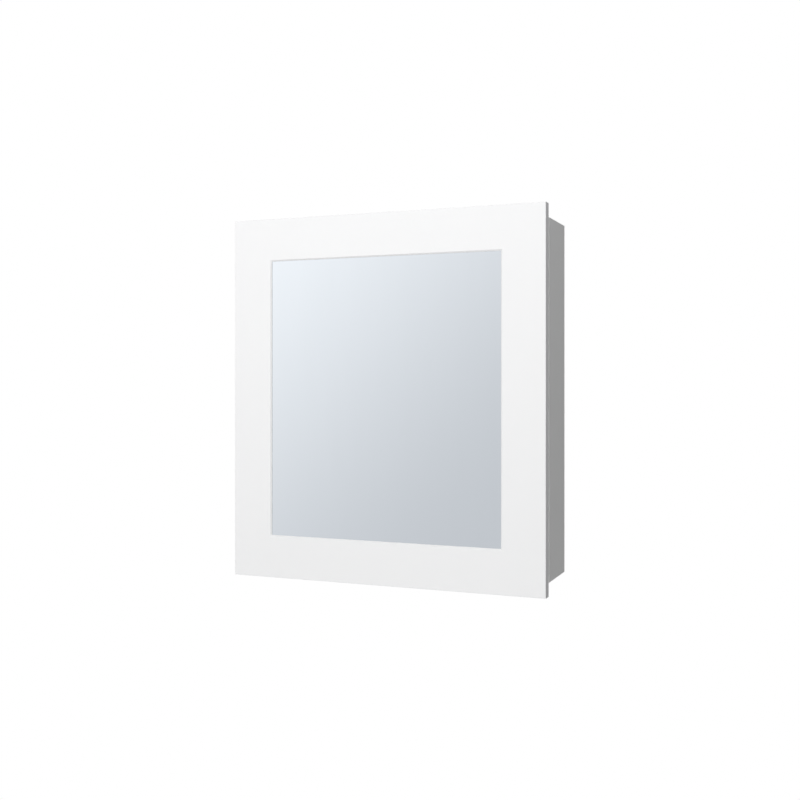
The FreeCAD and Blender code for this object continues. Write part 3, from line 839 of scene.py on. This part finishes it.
class CABINET_OT_shelves(PieceOperator, Operator):
    """Glass shelves on nickel-plated pins with soft pads"""
    bl_idname = "cabinet.shelves"
    bl_label = "Shelves"

    def make(self, colours, sizes):
        glass = (shared(float_glass, colours.glass),)
        finished_copy("shelf_lower", "clear_glass", glass)
        finished_copy("shelf_upper", "clear_glass", glass)
        finished_copy("shelf_pads", "clear_soft", (shared(clear_polyurethane, colours.soft_clear),),
                      sizes.metal_ease)

        # In millimetres: the pin's length in the side, its radius and its reach into the case, then the
        # collar's radius and thickness and how far the flat under the pad is from the pin's axis
        in_side, stem, reach = 9.0, 2.5, 9.0
        collar, thick, flat_height = 3.5, 1.2, 1.0
        # Eased edges: the lead into the side, the collar's under and upper edge, and the end
        lead, lead_length, under, upper, end = 0.4, 0.6, 0.15, 0.2, 0.3
        pin = [(0, -in_side), (stem - lead, -in_side), (stem, lead_length - in_side), (stem, 0),
               (collar - under, 0), (collar, under), (collar, thick - upper), (collar - upper, thick)]
        flat_from = len(pin)
        pin += [(stem, thick), (stem, reach - end), (stem - end, reach), (0, reach)]
        places = []
        for low, high, middle in solids_of("shelf_pins"):
            if middle.x > 0:
                places.append(((high.x - in_side * MM, middle.y, middle.z), LEFTWARDS, 0.0))
            else:
                places.append(((low.x + in_side * MM, middle.y, middle.z), RIGHTWARDS, math.pi))
        set_on_places("shelf_pins", "nickel_plated_steel", turned(pin, (flat_from, flat_height)), places,
                      shared(bright_nickel_plate, colours.nickel))


class CABINET_OT_hinge(PieceOperator, Operator):
    """Continuous hinge: two leaves, the pin and the screws along them"""
    bl_idname = "cabinet.hinge"
    bl_label = "Hinge"

    def make(self, colours, sizes):
        nickel = shared(bright_nickel_plate, colours.nickel)
        for node in ("hinge_case_leaf", "hinge_door_leaf", "hinge_pin"):
            finished_copy(node, "nickel_plated_steel", (nickel,))
        for node, way in (("hinge_case_screws", OUT_OF_WALL), ("hinge_door_screws", INTO_WALL)):
            places = []
            for low, high, middle in solids_of(node):
                places.append(((middle.x, low.y if way is OUT_OF_WALL else high.y, middle.z), way, 0.0))
            set_on_places(node, "nickel_plated_steel", flat_head_screw(sizes, *HINGE_SCREW), places, nickel,
                          sizes.turn_seed, cross_recess(sizes, 0.0))


class CABINET_OT_catch(PieceOperator, Operator):
    """Magnetic catch on the right side and the strike on the door"""
    bl_idname = "cabinet.catch"
    bl_label = "Magnetic catch"

    def make(self, colours, sizes):
        nickel = shared(bright_nickel_plate, colours.nickel)
        for node, slot, finish, ease in (
                ("catch_housing", "white_plastic", shared(moulded_abs, colours.plastic), sizes.band_ease),
                ("catch_magnet", "ferrite", shared(sintered_ferrite, colours.ferrite), sizes.band_ease),
                ("catch_pole_plates", "zinc_steel", shared(blue_zinc_plate, colours.zinc), sizes.metal_ease),
                ("strike_plate", "nickel_plated_steel", nickel, sizes.metal_ease)):
            finished_copy(node, slot, (finish,), ease)
        places = [((low.x + sizes.pan_height, middle.y, middle.z), LEFTWARDS, 0.0)
                  for low, high, middle in solids_of("catch_screws")]
        screw = pan_head_screw(sizes, CATCH_SCREW_LENGTH)
        set_on_places("catch_screws", "nickel_plated_steel", screw, places, nickel, sizes.turn_seed,
                      cross_recess(sizes, sizes.pan_height))
        low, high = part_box("strike_screw")
        middle = (low + high) / 2
        screw = flat_head_screw(sizes, *STRIKE_SCREW)
        set_on_places("strike_screw", "nickel_plated_steel", screw,
                      [((middle.x, high.y, middle.z), INTO_WALL, 0.0)], nickel, sizes.turn_seed + 1,
                      cross_recess(sizes, 0.0))


class CABINET_OT_door(PieceOperator, Operator):
    """Lacquered frame, the mirror in it, and what holds the mirror from behind"""
    bl_idname = "cabinet.door"
    bl_label = "Mirrored door"

    def make(self, colours, sizes):
        low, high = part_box("door_frame")
        front, back, lip = low.y, high.y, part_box("mirror_gasket")[0].y
        ease, back_ease = sizes.frame_ease, sizes.frame_back_ease
        width, rebate = sizes.frame_width, sizes.frame_width - sizes.mirror_lap
        bevel, soft = sizes.frame_bevel, sizes.bevel_ease
        # How far before the bevel's corners, which turn by 45 degrees, their rounding starts
        run_in = soft * math.tan(math.radians(45 / 2))
        section = arc((back_ease, back - back_ease), back_ease, 90, 180)
        section += arc((ease, front + ease), ease, 180, 270)
        section += arc((width - bevel - run_in, front + soft), soft, 270, 315)
        section += arc((width - soft, front + bevel + run_in), soft, 315, 360)
        section += [(width, lip), (rebate, lip), (rebate, back)]
        door = new_piece("door_frame_finished", mitred_frame(high.x, high.z, section))
        door.data.materials.append(shared(satin_lacquer, colours.lacquer))
        smooth(door)
        stand_for(door, "door_frame", "white_lacquer")

        silvered = (shared(silvered_mirror, colours.silver), shared(mirror_back_paint, colours.mirror_paint))
        finished_copy("mirror_glass", "mirror", silvered, sizes.glass_ease, facing_front)
        finished_copy("mirror_gasket", "foam", (shared(closed_cell_foam, colours.foam),))
        finished_copy("mirror_backing", "hardboard", (shared(screen_backed_hardboard, colours.hardboard),))
        finished_copy("door_bumpers", "clear_soft", (shared(clear_polyurethane, colours.soft_clear),))

        zinc = shared(blue_zinc_plate, colours.zinc)
        opening = high.x - width
        screws, clips = [], []
        for tip, crown, middle in solids_of("clip_screws"):
            screws.append(((middle.x, crown.y - sizes.pan_height, middle.z), INTO_WALL, 0.0))
            if abs(middle.x) > opening:
                turn = 0.0 if middle.x > 0 else math.pi
            else:
                turn = math.pi / 2 if middle.z < 0 else -math.pi / 2
            clips.append(((middle.x, back, middle.z), INTO_WALL, turn))
        # Along a clip from its screw, in millimetres: the foot's end, the step to the frame, the flange's end
        foot_end, step, flange_end = -12.8, -7.4, 6.5
        gauge = sizes.clip_gauge / MM
        flange = gauge / 2
        foot = (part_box("mirror_backing")[1].y - back) / MM + flange
        strip = bent_strip([(foot_end, foot), (step, foot), (step, flange), (flange_end, flange)], gauge,
                           sizes.clip_width / MM, sizes.clip_bend / MM)
        set_on_places("mirror_clips", "zinc_steel", strip, clips, zinc)
        set_on_places("clip_screws", "zinc_steel", pan_head_screw(sizes, CLIP_SCREW_LENGTH), screws, zinc,
                      sizes.turn_seed, cross_recess(sizes, sizes.pan_height))


SENSOR_WIDTH = 36.0
FLOOR_STEPS = 96
# The dome's light changes along the way to the upper left and along the way out of the wall. Each pair is
# where a change starts and ends on its way.
UPPER_LEFT = (-0.73, 0.0, 0.68)
FALLING, RISING, BEYOND = (-0.08, -0.4), (0.1, 0.6), (0.48, 0.8)
AHEAD = (0.1, 0.6)


class CABINET_OT_studio(Operator):
    """Pale floor, a soft dome with lights in front, on the right and behind, and the camera"""
    bl_idname = "cabinet.studio"
    bl_label = "Studio"

    def execute(self, context):
        scene, studio = context.scene, context.scene.cabinet_studio
        scene.view_settings.view_transform = "Standard"
        self.hang_dome(scene, studio)

        shape = bmesh.new()
        bmesh.ops.create_circle(shape, cap_ends=True, segments=FLOOR_STEPS, radius=studio.floor_radius)
        bmesh.ops.translate(shape, verts=shape.verts[:],
                            vec=DOWNWARDS * studio.floor_drop + OUT_OF_WALL * studio.floor_forward)
        floor = new_piece("floor", shape)
        floor.data.materials.append(shared(seamless_paper, studio.floor))

        middle = (CAD_BOX[0] + CAD_BOX[1]) / 2
        for name, power, place in (("key", studio.key_power, studio.key_place),
                                   ("side", studio.side_power, studio.side_place),
                                   ("back", studio.back_power, studio.back_place)):
            light = bpy.data.lights.new(name, "AREA")
            light.energy = power
            light.size = studio.lamp_size
            lamp = linked(name, light)
            lamp.location = place
            lamp.rotation_euler = (middle - lamp.location).to_track_quat("-Z", "Y").to_euler()
            lamp.visible_glossy = False

        view = bpy.data.cameras.new("camera")
        view.lens = studio.lens
        view.sensor_width = SENSOR_WIDTH
        view.shift_y = studio.lens_rise
        scene.camera = linked("camera", view)
        scene.camera.location = studio.camera_place
        scene.camera.rotation_euler = (math.pi / 2, 0.0, studio.camera_turn)
        return {"FINISHED"}

    def hang_dome(self, scene, studio):
        scene.world = bpy.data.worlds.new("studio_dome")
        scene.world.use_nodes = True
        nodes = Nodes(scene.world.node_tree)
        way = nodes.add("ShaderNodeTexCoord", output="Generated")
        rise, ahead = [nodes.add("ShaderNodeVectorMath", {"operation": "DOT_PRODUCT", 0: way, 1: axis},
                                 "Value") for axis in (UPPER_LEFT, OUT_OF_WALL)]
        level = nodes.mix(nodes.ranged(rise, FALLING), toned(studio.dome_front), toned(studio.dome_turn))
        low = nodes.mix(nodes.ranged(ahead, AHEAD), toned(studio.dome_low), level)
        high = nodes.ranged(rise, RISING, interpolation_type="SMOOTHSTEP")
        front = nodes.mix(high, low, toned(studio.dome_high, studio.high_gain))
        dome = nodes.mix(nodes.ranged(rise, BEYOND), front, toned(studio.dome_far))
        seen = nodes.add("ShaderNodeLightPath", output="Is Camera Ray")
        glow = nodes.add("ShaderNodeBackground", {"Color": nodes.mix(seen, dome, toned(studio.backdrop))})
        nodes.add("ShaderNodeOutputWorld", {"Surface": glow})


OPERATORS = (CABINET_OT_case_boards, CABINET_OT_back_and_rails, CABINET_OT_joint_fittings, CABINET_OT_shelves,
             CABINET_OT_hinge, CABINET_OT_catch, CABINET_OT_door, CABINET_OT_studio)
GROUPS = {"cabinet_finishes": CabinetFinishes, "cabinet_fittings": CabinetFittings,
          "cabinet_studio": CabinetStudio}


class CABINET_PT_sidebar(Panel):
    """Everything that makes the cabinet"""
    bl_idname = "CABINET_PT_sidebar"
    bl_label = "Medicine cabinet"
    bl_space_type = "VIEW_3D"
    bl_region_type = "UI"
    bl_category = "Cabinet"

    def draw(self, context):
        for name, group in GROUPS.items():
            box = self.layout.box()
            for field in group.__annotations__:
                box.prop(getattr(context.scene, name), field)
        for operator in OPERATORS:
            self.layout.operator(operator.bl_idname)


def register():
    for group in GROUPS.values():
        bpy.utils.register_class(group)
    for name, group in GROUPS.items():
        setattr(bpy.types.Scene, name, PointerProperty(type=group))
    for part in (*OPERATORS, CABINET_PT_sidebar):
        bpy.utils.register_class(part)


def unregister():
    for part in (CABINET_PT_sidebar, *OPERATORS):
        bpy.utils.unregister_class(part)
    for name, group in GROUPS.items():
        delattr(bpy.types.Scene, name)
        bpy.utils.unregister_class(group)


def main():
    register()
    bpy.ops.cabinet.case_boards()
    bpy.ops.cabinet.back_and_rails()
    bpy.ops.cabinet.joint_fittings()
    bpy.ops.cabinet.shelves()
    bpy.ops.cabinet.hinge()
    bpy.ops.cabinet.catch()
    bpy.ops.cabinet.door()
    bpy.ops.cabinet.studio()


if __name__ == "__main__":
    main()
